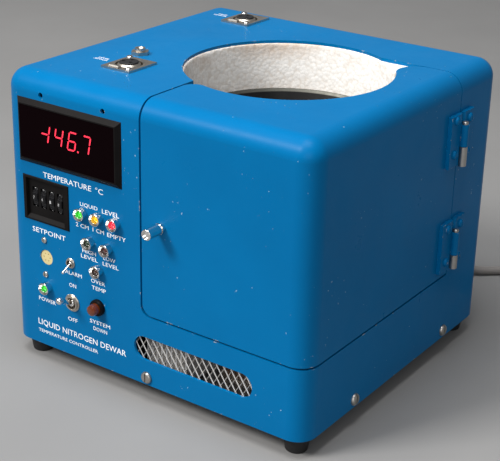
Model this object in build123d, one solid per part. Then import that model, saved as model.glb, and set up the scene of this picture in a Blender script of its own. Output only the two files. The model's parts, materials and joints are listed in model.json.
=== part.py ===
from build123d import *
import math
import os

# Bench-top liquid nitrogen dewar. A sheet-steel casing stands on four feet and holds a
# foam-lined well with a vacuum vessel in it. The front right corner of the casing is a
# hinged door, and the electronics sit in the left side and under the deck.
# Everything is drawn about the middle of the casing, X to the right, Y to the back and
# Z up from the table, and is moved to the middle of its own outline when it is written.

# ---- Driving dimensions, in millimetres ------------------------------------------------
WIDTH, DEPTH = 264.0, 254.0
FOOT_HEIGHT = 14.0
TOP = 224.6
SHEET = 2.0
CORNER_RADIUS, TOP_RADIUS = 14.5, 14.0
RETURN_WIDTH = 12.0

SEAM_X, SEAM_Y, SEAM_Z = -5.6, 65.5, 68.7
GAP_X, GAP_Y, GAP_Z = 1.6, 1.0, 1.6
DOOR_CORNER = 8.0

WELL_X, WELL_Y, WELL_RADIUS = 27.0, 0.0, 76.0
LEFT_LOBE, REAR_LOBE = 9.0, 16.0
FOAM_RADIUS = 74.5

DECK_THICK = 2.0
VESSEL_RADIUS, VESSEL_BORE, VESSEL_WALL = 73.4, 66.0, 1.2
VESSEL_FOOT, VESSEL_LIP = 78.0, 187.4

HINGE_X, HINGE_Y = 136.8, 65.4
LEAF_THICK, KNUCKLE_RADIUS, PIN_RADIUS = 3.0, 3.0, 1.5
HINGE_FIT, HINGE_CLEAR = 0.05, 0.3

# Power lever: its pivot's distance out of the panel, its length, ball radius and tilt.
POWER_PROUD, POWER_LENGTH, POWER_TIP, POWER_TILT = 0.0, 15.0, 2.7, 26.0

CORD_RADIUS, CORD_LENGTH = 3.65, 1800.0
COIL_MID_RADIUS, COIL_X, COIL_Y = 40.0, 182.0, 221.2

# ---- Worked out from them --------------------------------------------------------------
FRONT, BACK = -DEPTH / 2, DEPTH / 2
LEFT, RIGHT = -WIDTH / 2, WIDTH / 2
FRONT_IN, BACK_IN = FRONT + SHEET, BACK - SHEET
LEFT_IN, RIGHT_IN, TOP_IN = LEFT + SHEET, RIGHT - SHEET, TOP - SHEET
DECK_TOP = SEAM_Z - GAP_Z / 2
FOAM_LEFT, FOAM_FRONT = -62.0, -76.0
UP, OUT = (0, 0, 1), (0, -1, 0)
PANEL_HEAD = 2.4
KNOB_LENGTH = 16.0
LEVER_REACH = POWER_PROUD + POWER_LENGTH * math.cos(math.radians(POWER_TILT)) + POWER_TIP
SHIFT_X = -(HINGE_X + KNUCKLE_RADIUS + LEFT - PANEL_HEAD) / 2
SHIFT_Y = -(FRONT - max(LEVER_REACH, KNOB_LENGTH) + BACK + PANEL_HEAD) / 2


# ---- Helpers ---------------------------------------------------------------------------
def block(x0, x1, y0, y1, z0, z1):
    """A box between two corners."""
    middle = Pos((x0 + x1) / 2, (y0 + y1) / 2, (z0 + z1) / 2)
    return middle * Box(x1 - x0, y1 - y0, z1 - z0)


def rod(point, direction, radius, length, tip_radius=None):
    """A round bar, or a cone, that starts at a point and runs in a direction."""
    base = (Align.CENTER, Align.CENTER, Align.MIN)
    if tip_radius is None:
        shape = Cylinder(radius, length, align=base)
    else:
        shape = Cone(radius, tip_radius, length, align=base)
    return Plane(origin=point, z_dir=direction) * shape


def turned(profile, point, direction):
    """A lathe part from (radius, distance) pairs, standing at a point."""
    face = make_face(Polyline([(r, 0, z) for r, z in profile], close=True))
    return Plane(origin=point, z_dir=direction) * revolve(face, Axis.Z)


def hexagon(point, direction, across_flats, length):
    """A hexagon nut or body, without its hole."""
    prism = extrude(RegularPolygon(across_flats / math.sqrt(3), 6), length)
    return Plane(origin=point, z_dir=direction) * prism


def round_screw(point, direction, head_radius, head_height, shank_radius, shank_length):
    """A slotted round-head screw whose head stands out from a surface at a point."""
    head = rod((0, 0, 0), UP, head_radius, head_height)
    head = fillet(head.faces().sort_by(Axis.Z)[-1].edges(), head_height * 0.85)
    slot = block(-head_radius, head_radius, -0.55, 0.55, head_height * 0.5, head_height + 1)
    screw = head - slot + rod((0, 0, -shank_length), UP, shank_radius, shank_length)
    return Plane(origin=point, z_dir=direction) * screw


def fuse(shapes):
    """Shapes that touch, as one solid."""
    total = shapes[0]
    for shape in shapes[1:]:
        total = total + shape
    return total


os.makedirs("parts", exist_ok=True)
written = []


def write(name, shape):
    """Write one node, moved to the middle of the object's own outline."""
    pieces = [Pos(SHIFT_X, SHIFT_Y, 0) * solid for solid in shape.solids()]
    export_step(pieces[0] if len(pieces) == 1 else Compound(children=pieces), f"parts/{name}.step")
    written.append(name)


def write_group(name, shapes):
    """Write separate pieces of one kind as one node."""
    write(name, Compound(children=[solid for shape in shapes for solid in shape.solids()]))


# ---- Casing and door outline -----------------------------------------------------------
def case_block(inset, floor):
    """The casing's outer form, taken in by an inset on every side but its open bottom."""
    form = block(LEFT + inset, RIGHT - inset, FRONT + inset, BACK - inset, floor, TOP - inset)
    form = fillet(form.edges().filter_by(Axis.Z), CORNER_RADIUS - inset)
    return fillet(form.faces().sort_by(Axis.Z)[-1].edges(), TOP_RADIUS - inset)


def door_zone(side):
    """The door's space: side is -1 for the door itself and 1 for the hole it fills."""
    x0 = SEAM_X - side * GAP_X / 2
    y1 = SEAM_Y + side * GAP_Y / 2
    z0 = SEAM_Z - side * GAP_Z / 2
    zone = block(x0, RIGHT + 30, FRONT - 30, y1, z0, TOP + 30)
    corner = zone.edges().filter_by(Axis.Y).sort_by(Axis.Z)[:2].sort_by(Axis.X)[0]
    return fillet(corner, DOOR_CORNER)


def well_round(radius, z0=60.0, z1=TOP + 40):
    """A cylinder down the middle of the well."""
    return rod((WELL_X, WELL_Y, z0), UP, radius, z1 - z0)


def lobe(radius, edge_x=None, edge_y=None):
    """The middle of an arc that touches the well's circle and one of the door's edges."""
    reach = WELL_RADIUS + radius
    if edge_x is not None:
        x = edge_x + radius
        return x, WELL_Y - math.sqrt(reach**2 - (x - WELL_X) ** 2)
    y = edge_y - radius
    return WELL_X + math.sqrt(reach**2 - (y - WELL_Y) ** 2), y


def prism(points, z0, z1):
    """An upright prism over a plan outline."""
    face = make_face(Polyline([(x, y, z0) for x, y in points], close=True))
    return extrude(face, z1 - z0, dir=UP)


DOOR_LEFT = SEAM_X + GAP_X / 2
DOOR_REAR = SEAM_Y - GAP_Y / 2
DOOR_FLOOR = SEAM_Z + GAP_Z / 2
LEFT_X, LEFT_Y = lobe(LEFT_LOBE, edge_x=DOOR_LEFT)
REAR_X, REAR_Y = lobe(REAR_LOBE, edge_y=DOOR_REAR)


def door_corners(gap):
    """What the door's two rounded corners leave free beside the well."""
    left = prism([(DOOR_LEFT - 1, LEFT_Y), (LEFT_X, LEFT_Y), (WELL_X, WELL_Y), (DOOR_LEFT - 1, WELL_Y)],
                 60, TOP + 40)
    rear = prism([(REAR_X, DOOR_REAR + 1), (REAR_X, REAR_Y), (WELL_X, WELL_Y), (WELL_X, DOOR_REAR + 1)],
                 60, TOP + 40)
    left -= rod((LEFT_X, LEFT_Y, 50), UP, LEFT_LOBE + gap, TOP)
    rear -= rod((REAR_X, REAR_Y, 50), UP, REAR_LOBE + gap, TOP)
    return left, rear


wrap = case_block(0, FOOT_HEIGHT) - case_block(SHEET, FOOT_HEIGHT - 10)
inside = case_block(SHEET, FOOT_HEIGHT)
deep = SHEET + RETURN_WIDTH
rim = inside - block(LEFT + deep, RIGHT - deep, FRONT + deep, BACK - deep, 0, TOP - deep)
hole_left, hole_rear = SEAM_X - GAP_X / 2, SEAM_Y + GAP_Y / 2


# ---- Hinge places ----------------------------------------------------------------------
# Each hinge: leaf foot and top, knuckle foot and top, pin barrel foot.
HINGES = [(75.0, 114.0, 86.5, 104.6, 75.3), (158.0, 197.0, 172.0, 188.4, 157.0)]
DOOR_SCREWS = [(56.0, 109.0), (56.0, 82.7), (55.4, 193.0), (55.4, 167.5)]
CASE_SCREWS = [(75.7, 107.5), (75.7, 81.5), (75.7, 191.0), (75.7, 165.0)]
HINGE_SHANK = 1.75


def side_rod(y, z, radius, x0, x1):
    """A round bar through the right-hand wall."""
    return rod((x0, y, z), (1, 0, 0), radius, x1 - x0)


# ---- Front panel places, as (x, z) -----------------------------------------------------
DISPLAY = (-69.6, 182.3)
DISPLAY_SIZE = (96.0, 48.0)
DISPLAY_PROUD, BEZEL_SLOPE = 3.0, 3.4
WHEELS = (-93.4, 131.2)
WHEEL_FRAME = (43.8, 34.3)
WHEEL_PITCH, WHEEL_RADIUS, WHEEL_WIDTH = 8.0, 13.0, 5.0
WHEEL_PROUD, WHEEL_RECESS = 0.8, 2.4
WHEEL_Y, WHEEL_Z = -114.2, 132.0
LAMPS = [(-58.8, 131.4), (-44.0, 131.4), (-28.4, 131.4), (-52.4, 110.9), (-35.9, 110.0),
         (-45.0, 91.0), (-95.6, 63.0)]
ALARM, POWER, DOWN_LAMP = (-71.4, 89.5), (-71.0, 57.8), (-46.0, 61.8)
BUZZER, BUZZER_SCREWS = (-95.5, 87.0), [(-96.7, 100.7), (-96.7, 73.3)]
SPARE_HOLES = [(-95.0, 210.5), (-38.0, 210.5)]
VENT_X0, VENT_X1, VENT_Z, VENT_RADIUS = -12.8, 89.6, 42.6, 9.2
KNOB = (12.0, 139.0)
SOCKETS = [(-64.0, -68.5), (-77.5, 92.0)]
SOCKET_SIZE = (26.0, 31.0, 1.6)
SOCKET_HOLE, SOCKET_TUBE, SOCKET_DEPTH = 10.0, 11.9, 20.0
TAB_OFFSET, TAB_SIZE = (-2.5, -12.6), (9.0, 3.4)
TAB_SLOT = (TAB_SIZE[0] / 2 + 0.4, TAB_SIZE[1] / 2 + 0.4)
SOCKET_SCREW = (9.8, -12.3)
JACK = (-77.6, -40.0)
CORD_X, CORD_Z = 62.0, 33.0
PANEL_SCREWS = [((-1.4, FRONT, 20.0), OUT), ((0.0, BACK, 20.0), (0, 1, 0))]
for screw_y in (-63.3, 67.1):
    PANEL_SCREWS.append(((RIGHT, screw_y, 20.5), (1, 0, 0)))
    PANEL_SCREWS.append(((LEFT, screw_y, 20.5), (-1, 0, 0)))


def front_rod(place, radius, y0, y1):
    """A round bar across the front panel, from y0 back to y1."""
    return rod((place[0], y0, place[1]), (0, 1, 0), radius, y1 - y0)


def slot_form(x0, x1, z, radius, y0, y1):
    """A round-ended bar across the front panel."""
    return fuse([front_rod((x0 + radius, z), radius, y0, y1),
                 block(x0 + radius, x1 - radius, y0, y1, z - radius, z + radius),
                 front_rod((x1 - radius, z), radius, y0, y1)])


# ---- Casing shell ----------------------------------------------------------------------
def casing_shell():
    shell = wrap - door_zone(1) - well_round(WELL_RADIUS, z0=100)
    left_return = rim & block(hole_left - SHEET, hole_left, FRONT, hole_rear, DECK_TOP, TOP)
    rear_return = rim & block(hole_left, RIGHT, hole_rear, hole_rear + SHEET, DECK_TOP, TOP)
    shell += (left_return - well_round(WELL_RADIUS, z0=100))
    shell += (rear_return - well_round(WELL_RADIUS, z0=100))
    x, z = DISPLAY
    cuts = [block(x - 46, x + 46, FRONT - 1, FRONT_IN + 1, z - 22.5, z + 22.5)]
    x, z = WHEELS
    cuts.append(block(x - 20.2, x + 20.2, FRONT - 1, FRONT_IN + 1, z - 16.6, z + 16.6))
    cuts += [front_rod(lamp, 4.0, FRONT - 1, FRONT_IN + 1) for lamp in LAMPS]
    cuts.append(front_rod(ALARM, 3.2, FRONT - 1, FRONT_IN + 1))
    cuts.append(front_rod(POWER, 6.0, FRONT - 1, FRONT_IN + 1))
    cuts.append(front_rod(DOWN_LAMP, 5.6, FRONT - 1, FRONT_IN + 1))
    cuts.append(front_rod(BUZZER, 6.0, FRONT - 1, FRONT_IN + 1))
    cuts += [front_rod(place, 1.6, FRONT - 1, FRONT_IN + 1) for place in BUZZER_SCREWS]
    cuts += [front_rod(place, 2.0, FRONT - 1, FRONT_IN + 1) for place in SPARE_HOLES]
    cuts.append(slot_form(VENT_X0, VENT_X1, VENT_Z, VENT_RADIUS, FRONT - 1, FRONT_IN + 1))
    for x, y in SOCKETS:
        cuts.append(rod((x, y, TOP_IN - 1), UP, SOCKET_TUBE + 0.3, SHEET + 2))
        tab_x, tab_y = x + TAB_OFFSET[0], y + TAB_OFFSET[1]
        cuts.append(block(tab_x - TAB_SLOT[0], tab_x + TAB_SLOT[0], tab_y - TAB_SLOT[1], tab_y + TAB_SLOT[1],
                          TOP_IN - 1, TOP + 1))
        for side in (1, -1):
            place = (x + side * SOCKET_SCREW[0], y + side * SOCKET_SCREW[1], TOP_IN - 1)
            cuts.append(rod(place, UP, 1.6, SHEET + 2))
    cuts.append(rod((JACK[0], JACK[1], TOP_IN - 1), UP, 4.0, SHEET + 2))
    cuts.append(rod((CORD_X, BACK_IN - 1, CORD_Z), (0, 1, 0), 6.5, SHEET + 2))
    for (x, y, z), (dx, dy, dz) in PANEL_SCREWS:
        cuts.append(rod((x + dx, y + dy, z), (-dx, -dy, 0), 2.1, SHEET + 2))
    cuts += [side_rod(y, z, HINGE_SHANK + 0.1, RIGHT_IN - 1, RIGHT + 1) for y, z in CASE_SCREWS]
    cuts.append(block(hole_left - SHEET - 1, hole_left + 1, -123.2, -114.8, 124.8, 155.2))
    for cut in cuts:
        shell -= cut
    return shell


casing = casing_shell()
write("casing_shell", casing)


# ---- Base pan, its screws and the feet -------------------------------------------------
FEET = {"front_left": (-117.0, -112.0), "front_right": (117.0, -112.0),
        "rear_left": (-117.0, 112.0), "rear_right": (117.0, 112.0)}


def pan_form(inset, z0, z1):
    form = block(LEFT_IN + inset, RIGHT_IN - inset, FRONT_IN + inset, BACK_IN - inset, z0, z1)
    return fillet(form.edges().filter_by(Axis.Z), CORNER_RADIUS - SHEET - inset)


def base_pan():
    pan = pan_form(0.05, FOOT_HEIGHT, 24.5) - pan_form(1.55, FOOT_HEIGHT + 1.5, 30.0)
    for x, y in FEET.values():
        pan -= rod((x, y, 10), UP, 2.1, 10)
    for (x, y, z), (dx, dy, dz) in PANEL_SCREWS:
        pan -= rod((x, y, z), (-dx, -dy, 0), 2.0, 10)
    for column in range(7):
        x = -60 + 20 * column
        pan -= block(x, x + 5, 40, 90, 10, 20)
    return pan


write("base_pan", base_pan())
write_group("panel_screws", [round_screw(place, way, 4.5, PANEL_HEAD, 2.0, 7.0)
                             for place, way in PANEL_SCREWS])


def rubber_foot(x, y):
    foot = rod((x, y, 0), UP, 7.75, FOOT_HEIGHT, 10.0)
    foot = fillet(foot.faces().sort_by(Axis.Z)[0].edges(), 1.2)
    return foot - rod((x, y, -1), UP, 4.4, 6.0) - rod((x, y, 0), UP, 2.1, 20)


for place, (foot_x, foot_y) in FEET.items():
    write("rubber_foot_" + place, rubber_foot(foot_x, foot_y))
foot_screws = []
for foot_x, foot_y in FEET.values():
    bolt = round_screw((foot_x, foot_y, 5.0), (0, 0, -1), 3.8, 2.6, 2.0, 14.5)
    foot_screws.append(bolt + hexagon((foot_x, foot_y, FOOT_HEIGHT + 1.5), UP, 7.0, 3.2))
write_group("foot_screws", foot_screws)


# ---- Vent mesh -------------------------------------------------------------------------
MESH_PITCH_X, MESH_PITCH_Z, MESH_STRAND = 6.2, 9.6, 0.9


def vent_mesh():
    sheet = block(VENT_X0 - 6, VENT_X1 + 6, FRONT_IN, FRONT_IN + 1.0,
                  VENT_Z - VENT_RADIUS - 4, VENT_Z + VENT_RADIUS + 4)
    half_x, half_z = MESH_PITCH_X / 2 - MESH_STRAND * 0.62, MESH_PITCH_Z / 2 - MESH_STRAND * 0.95
    diamond = make_face(Polyline([(-half_x, 0, 0), (0, 0, -half_z), (half_x, 0, 0), (0, 0, half_z)],
                                 close=True))
    diamond = extrude(diamond, 3.0, dir=(0, 1, 0))
    holes = []
    for row in range(-2, 3):
        shift = (row % 2) * MESH_PITCH_X / 2
        for column in range(18):
            x = VENT_X0 - 3 + shift + column * MESH_PITCH_X
            z = VENT_Z + row * MESH_PITCH_Z / 2
            inside_x = VENT_X0 - 3 <= x <= VENT_X1 + 3
            if inside_x:
                holes.append(Pos(x, FRONT_IN - 1, z) * diamond)
    return sheet - holes


write("vent_mesh", vent_mesh())


# ---- Deck, foam and vessel -------------------------------------------------------------
def deck_plate():
    deck = inside & block(-60, RIGHT, FRONT, BACK, DECK_TOP - DECK_THICK, DECK_TOP)
    deck -= block(-61, -34, FRONT, -88, 60, 80)
    return deck


write("deck_plate", deck_plate())


def fixed_foam():
    foam = inside & block(FOAM_LEFT, RIGHT, FOAM_FRONT, BACK, DECK_TOP, TOP)
    foam -= block(hole_left, RIGHT, FRONT, hole_rear, 60, TOP + 5)
    foam -= block(FOAM_LEFT - 1, -48, FOAM_FRONT - 1, -52, 60, TOP + 5)
    wedge = door_corners(GAP_Y)[1] & inside
    wedge &= block(hole_left, RIGHT, 46, hole_rear, DECK_TOP, TOP)
    foam += wedge
    foam -= well_round(FOAM_RADIUS)
    foam -= casing
    for y, z in CASE_SCREWS:
        foam -= side_rod(y, z, 5.0, 125, RIGHT_IN)
    return foam


write("fixed_foam", fixed_foam())
write("vessel_pad", rod((WELL_X, WELL_Y, DECK_TOP), UP, 70.0, VESSEL_FOOT - DECK_TOP))


def cup(radius, z0, z1, rounding):
    form = rod((WELL_X, WELL_Y, z0), UP, radius, z1 - z0)
    return fillet(form.faces().sort_by(Axis.Z)[0].edges(), rounding)


LIP_FOOT = VESSEL_LIP - 1.6
NECK = VESSEL_LIP - 13.4
outer_wall = cup(VESSEL_RADIUS, VESSEL_FOOT, LIP_FOOT, 12.0)
outer_wall -= cup(VESSEL_RADIUS - VESSEL_WALL, VESSEL_FOOT + VESSEL_WALL, TOP, 10.8)
write("vessel_outer_wall", outer_wall)

axis_point = (WELL_X, WELL_Y, NECK)
inner_wall = cup(VESSEL_BORE + VESSEL_WALL, VESSEL_FOOT + 6, NECK, 12.0)
inner_wall += rod(axis_point, UP, VESSEL_BORE + VESSEL_WALL, LIP_FOOT - NECK, 72.1)
inner_wall += rod((WELL_X, WELL_Y, LIP_FOOT), UP, VESSEL_RADIUS, VESSEL_LIP - LIP_FOOT)
inner_wall -= cup(VESSEL_BORE, VESSEL_FOOT + 6 + VESSEL_WALL, NECK, 10.8)
inner_wall -= rod(axis_point, UP, VESSEL_BORE, LIP_FOOT - NECK, 71.2)
inner_wall -= rod((WELL_X, WELL_Y, LIP_FOOT), UP, 71.2, 3.0, 72.9)
write("vessel_inner_wall", inner_wall)


# ---- Door ------------------------------------------------------------------------------
def door_tool():
    """Everything that is door: its space less the well and its two rounded corners."""
    left, rear = door_corners(0)
    return door_zone(-1) - well_round(WELL_RADIUS) - left - rear


door_space = door_tool()


def door_shell():
    flanges = [block(DOOR_LEFT, DOOR_LEFT + SHEET, FRONT, DOOR_REAR, DOOR_FLOOR, TOP),
               block(DOOR_LEFT, RIGHT, DOOR_REAR - SHEET, DOOR_REAR, DOOR_FLOOR, TOP),
               block(DOOR_LEFT, RIGHT, FRONT, DOOR_REAR, DOOR_FLOOR, DOOR_FLOOR + SHEET)]
    shell = wrap
    for flange in flanges:
        shell += rim & flange
    shell &= door_space
    shell -= front_rod(KNOB, 1.6, FRONT - 1, FRONT_IN + 1)
    for y, z in DOOR_SCREWS:
        shell -= side_rod(y, z, HINGE_SHANK + 0.1, RIGHT_IN - 1, RIGHT + 1)
    return shell


door = door_shell()
write("door_shell", door)


def door_foam():
    foam = inside & block(DOOR_LEFT, RIGHT, FRONT, DOOR_REAR, DOOR_FLOOR, TOP)
    foam = (foam & door_space) - door
    foam -= front_rod(KNOB, 4.5, FRONT_IN, FRONT_IN + 6)
    for y, z in DOOR_SCREWS:
        foam -= side_rod(y, z, 5.0, 125, RIGHT_IN)
    return foam


write("door_foam", door_foam())

knob = rod((KNOB[0], FRONT, KNOB[1]), OUT, 4.0, KNOB_LENGTH)
knob = fillet(knob.faces().sort_by(Axis.Y)[0].edges(), 0.8)
knob -= rod((KNOB[0], FRONT - 2.2, KNOB[1]), OUT, 5.0, 1.6) - rod((KNOB[0], FRONT, KNOB[1]), OUT, 3.2, 6)
knob -= rod((KNOB[0], FRONT - KNOB_LENGTH, KNOB[1]), (0, 1, 0), 3.0, 1.6)
knob -= front_rod(KNOB, 1.5, FRONT - 9, FRONT)
write("door_knob", knob)
write("knob_screw", round_screw((KNOB[0], FRONT_IN, KNOB[1]), (0, 1, 0), 3.5, 2.2, 1.5, 10.0))

catch = block(hole_left - SHEET - 8, hole_left - SHEET, -124.9, -114.0, 120, 160)
catch += block(hole_left - SHEET, -5.2, -123, -115, 125, 155)
write("catch_magnet", catch)


# ---- Hinges ----------------------------------------------------------------------------
def knuckle(radius, z0, z1):
    return rod((HINGE_X, HINGE_Y, z0), UP, radius, z1 - z0)


door_leaves, case_leaves, hinge_pins = [], [], []
for foot, top, knuckle_foot, knuckle_top, barrel_foot in HINGES:
    barrel_top = knuckle_foot - HINGE_CLEAR
    leaf = block(RIGHT, RIGHT + LEAF_THICK, 48.0, 64.4, foot, top)
    leaf -= knuckle(KNUCKLE_RADIUS + HINGE_CLEAR, barrel_foot - 5, knuckle_foot)
    leaf -= knuckle(KNUCKLE_RADIUS + HINGE_CLEAR, knuckle_top, top + 5)
    leaf += knuckle(KNUCKLE_RADIUS, knuckle_foot, knuckle_top)
    leaf -= knuckle(PIN_RADIUS + HINGE_FIT, knuckle_foot - 1, knuckle_top + 1)
    door_leaves.append(leaf)
    leaf = block(RIGHT, RIGHT + LEAF_THICK, 66.4, 82.3, foot, top)
    leaf -= knuckle(KNUCKLE_RADIUS + HINGE_CLEAR, barrel_top, top + 5)
    leaf -= knuckle(KNUCKLE_RADIUS, barrel_foot - 5, barrel_top)
    case_leaves.append(leaf)
    pin = knuckle(KNUCKLE_RADIUS, barrel_foot, barrel_top)
    pin += knuckle(PIN_RADIUS, barrel_top, knuckle_top + HINGE_CLEAR)
    cap = knuckle(2.3, knuckle_top + HINGE_CLEAR, knuckle_top + 2.4)
    hinge_pins.append(pin + fillet(cap.faces().sort_by(Axis.Z)[-1].edges(), 1.2))


def hinge_screw(y, z):
    screw = round_screw((RIGHT + LEAF_THICK, y, z), (1, 0, 0), 3.4, 2.0, HINGE_SHANK, 10.0)
    return screw + hexagon((RIGHT_IN, y, z), (-1, 0, 0), 7.0, 3.0)


def drilled(leaves, places):
    """Leaves with their screw holes."""
    holes = [side_rod(y, z, HINGE_SHANK + 0.1, RIGHT - 1, RIGHT + 6) for y, z in places]
    return [leaf - holes for leaf in leaves]


write_group("door_hinge_leaves", drilled(door_leaves, DOOR_SCREWS))
write_group("casing_hinge_leaves", drilled(case_leaves, CASE_SCREWS))
write_group("hinge_pins", hinge_pins)
write_group("door_hinge_screws", [hinge_screw(y, z) for y, z in DOOR_SCREWS])
write_group("casing_hinge_screws", [hinge_screw(y, z) for y, z in CASE_SCREWS])


# ---- Panel meter -----------------------------------------------------------------------
def tapered(y0, outline0, y1, outline1):
    """A four-sided form between two outlines, (x0, x1, z0, z1) at y0 and again at y1."""
    ends = []
    for y, (x0, x1, z0, z1) in ((y0, outline0), (y1, outline1)):
        plane = Plane(origin=((x0 + x1) / 2, y, (z0 + z1) / 2), x_dir=(1, 0, 0), z_dir=(0, 1, 0))
        ends.append(plane * Rectangle(x1 - x0, z1 - z0))
    return loft(ends)


def panel_meter():
    x, z = DISPLAY
    half_w, half_h = DISPLAY_SIZE[0] / 2, DISPLAY_SIZE[1] / 2
    face = FRONT - DISPLAY_PROUD
    front_w, front_h = half_w - BEZEL_SLOPE, half_h - BEZEL_SLOPE
    bezel = tapered(face, (x - front_w, x + front_w, z - front_h, z + front_h),
                    FRONT, (x - half_w, x + half_w, z - half_h, z + half_h))
    bezel -= block(x - 42, x + 42, face - 1, FRONT + 1, z - 18.5, z + 18.5)
    bezel -= block(x - 43.7, x + 43.7, face - 1, face + 1.9, z - 19.7, z + 19.7)
    window = block(x - 43.7, x + 43.7, face + 0.3, face + 1.9, z - 19.7, z + 19.7)
    body = block(x - 45.8, x + 45.8, FRONT, -82, z - 22.3, z + 22.3)
    body -= block(x - 42, x + 42, FRONT - 1, FRONT + 9, z - 18.5, z + 18.5)
    digits = [block(x - 29.8 + 12.6 * n, x - 17.6 + 12.6 * n, FRONT + 0.5, FRONT + 9, z - 9.5, z + 9.5)
              for n in range(5)]
    return bezel, window, body, digits


meter_bezel, meter_window, meter_body, meter_digits = panel_meter()
write("meter_bezel", meter_bezel)
write("meter_window", meter_window)
write("meter_housing", meter_body)
write_group("meter_digits", meter_digits)


# ---- Thumbwheel switch -----------------------------------------------------------------
def wheel_x(number):
    return WHEELS[0] + (number - 1.5) * WHEEL_PITCH


def wheel_rod(number, radius, width):
    return rod((wheel_x(number) - width / 2, WHEEL_Y, WHEEL_Z), (1, 0, 0), radius, width)


def wheel_housing():
    x, z = WHEELS
    half_w, half_h = WHEEL_FRAME[0] / 2, WHEEL_FRAME[1] / 2
    face = FRONT - WHEEL_PROUD
    frame = block(x - half_w, x + half_w, face, FRONT, z - half_h, z + half_h)
    frame = chamfer(frame.faces().sort_by(Axis.Y)[0].edges(), 0.4)
    frame += block(x - 20, x + 20, FRONT, -100, z - 16.4, z + 16.4)
    frame -= tapered(face, (x - 18.9, x + 17.9, z - 15.6, z + 15.2),
                     face + WHEEL_RECESS, (x - 18.3, x + 17.6, z - 13.2, z + 15.0))
    for number in range(4):
        frame -= wheel_rod(number, WHEEL_RADIUS + 0.4, WHEEL_WIDTH + 0.6)
        frame += wheel_rod(number, 1.95, WHEEL_WIDTH + 0.6)
    return frame


def thumbwheel(number):
    wheel = wheel_rod(number, WHEEL_RADIUS, WHEEL_WIDTH)
    wheel = fillet(wheel.edges().filter_by(GeomType.CIRCLE), 2.2)
    wheel -= wheel_rod(number, 2.0, WHEEL_WIDTH + 2)
    notches = []
    for step in range(10):
        angle = (step + 0.5) * math.tau / 10
        y = WHEEL_Y + (WHEEL_RADIUS + 0.5) * math.cos(angle)
        z = WHEEL_Z + (WHEEL_RADIUS + 0.5) * math.sin(angle)
        notches.append(rod((wheel_x(number) - 4, y, z), (1, 0, 0), 1.7, 8))
    return wheel - notches


write("thumbwheel_housing", wheel_housing())
for number in range(4):
    write(f"thumbwheel_{number + 1}", thumbwheel(number))


# ---- Lamps, buzzer and toggle switches -------------------------------------------------
LED_PROFILE = [(0, 0), (2.5, 0), (2.5, 3.7), (2.3, 4.7), (1.7, 5.5), (0.9, 6.05), (0, 6.2)]
BEZEL_PROFILE = [(2.5, -8), (3.9, -8), (3.9, 0), (4.7, 0), (4.7, 4.7), (4.5, 5.0), (4.25, 5.0), (3.1, 1.7),
                 (2.5, 0.7)]
bezels, lenses = [], []
for x, z in LAMPS:
    bezels.append(turned(BEZEL_PROFILE, (x, FRONT, z), OUT))
    lenses.append(turned(LED_PROFILE, (x, FRONT + 2.4, z), OUT))
write_group("led_bezels", bezels)
write_group("led_lenses", lenses)

x, z = DOWN_LAMP
ring = turned([(4.3, -26), (5.5, -26), (5.5, 0), (6.3, 0), (6.3, 2.0), (5.8, 3.0), (4.3, 3.0)],
              (x, FRONT, z), OUT)
write("warning_lamp_bezel", ring)
write("warning_lamp_lens", turned([(0, 0), (4.25, 0), (4.25, 6.6), (3.7, 8.2), (2.4, 9.0), (0, 9.3)],
                                  (x, FRONT, z), OUT))

x, z = BUZZER
buzzer = front_rod(BUZZER, 5.8, FRONT + 0.6, FRONT_IN) + front_rod(BUZZER, 11.0, FRONT_IN, FRONT_IN + 9)
buzzer += block(x - 5, x + 3, FRONT_IN, FRONT_IN + 3, 69.9, 104.2)
for place in BUZZER_SCREWS:
    buzzer -= front_rod(place, 1.6, FRONT_IN - 1, FRONT_IN + 4)
buzzer -= [front_rod((x + 3 * math.cos(a * math.tau / 6), z + 3 * math.sin(a * math.tau / 6)), 0.5,
                     FRONT, FRONT + 2) for a in range(6)]
write("buzzer", buzzer)
write_group("buzzer_screws", [round_screw((x, FRONT, z), OUT, 2.4, 1.6, 1.5, 6.0)
                              for x, z in BUZZER_SCREWS])

ALARM_PIVOT, POWER_PIVOT = FRONT, FRONT - POWER_PROUD
ALARM_TILT = -28.0


def toggle_body(place, bush, nut, body, bore, ball):
    """A switch case behind the panel, its bush through it, and a stepped round nut."""
    x, z = place
    half_w, half_h, back = body
    switch = block(x - half_w, x + half_w, FRONT_IN, FRONT_IN + back, z - half_h, z + half_h)
    switch += rod((x, FRONT_IN, z), OUT, bush, SHEET + 2.0)
    switch += turned([(0, 0), (nut, 0), (nut, 0.6), (nut - 0.4, 1.0), (bush + 0.25, 1.0), (bush + 0.25, 1.5),
                      (0, 1.5)], (x, FRONT, z), OUT)
    return switch - rod((x, FRONT - 3, z), (0, 1, 0), bore, 3 + ball + 0.8)


def toggle_lever(place, pivot_y, tilt, ball, neck, tip, length):
    x, z = place
    way = (0, -math.cos(math.radians(tilt)), math.sin(math.radians(tilt)))
    end = (x, pivot_y + way[1] * length, z + way[2] * length)
    lever = Pos(x, pivot_y, z) * Sphere(ball) + rod((x, pivot_y, z), way, neck, length, tip * 0.85)
    return lever + Pos(*end) * Sphere(tip)


write_group("toggle_switch_bodies", [
    toggle_body(ALARM, 3.1, 4.0, (4.0, 6.5, 10.0), 2.5, 1.7),
    toggle_body(POWER, 5.5, 6.8, (8.5, 13.0, 20.0), 4.3, 3.1)])
write("alarm_lever", toggle_lever(ALARM, ALARM_PIVOT, ALARM_TILT, 1.7, 0.8, 1.15, 9.6))
write("power_lever", toggle_lever(POWER, POWER_PIVOT, POWER_TILT, 3.1, 1.6, POWER_TIP, POWER_LENGTH))


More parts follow.
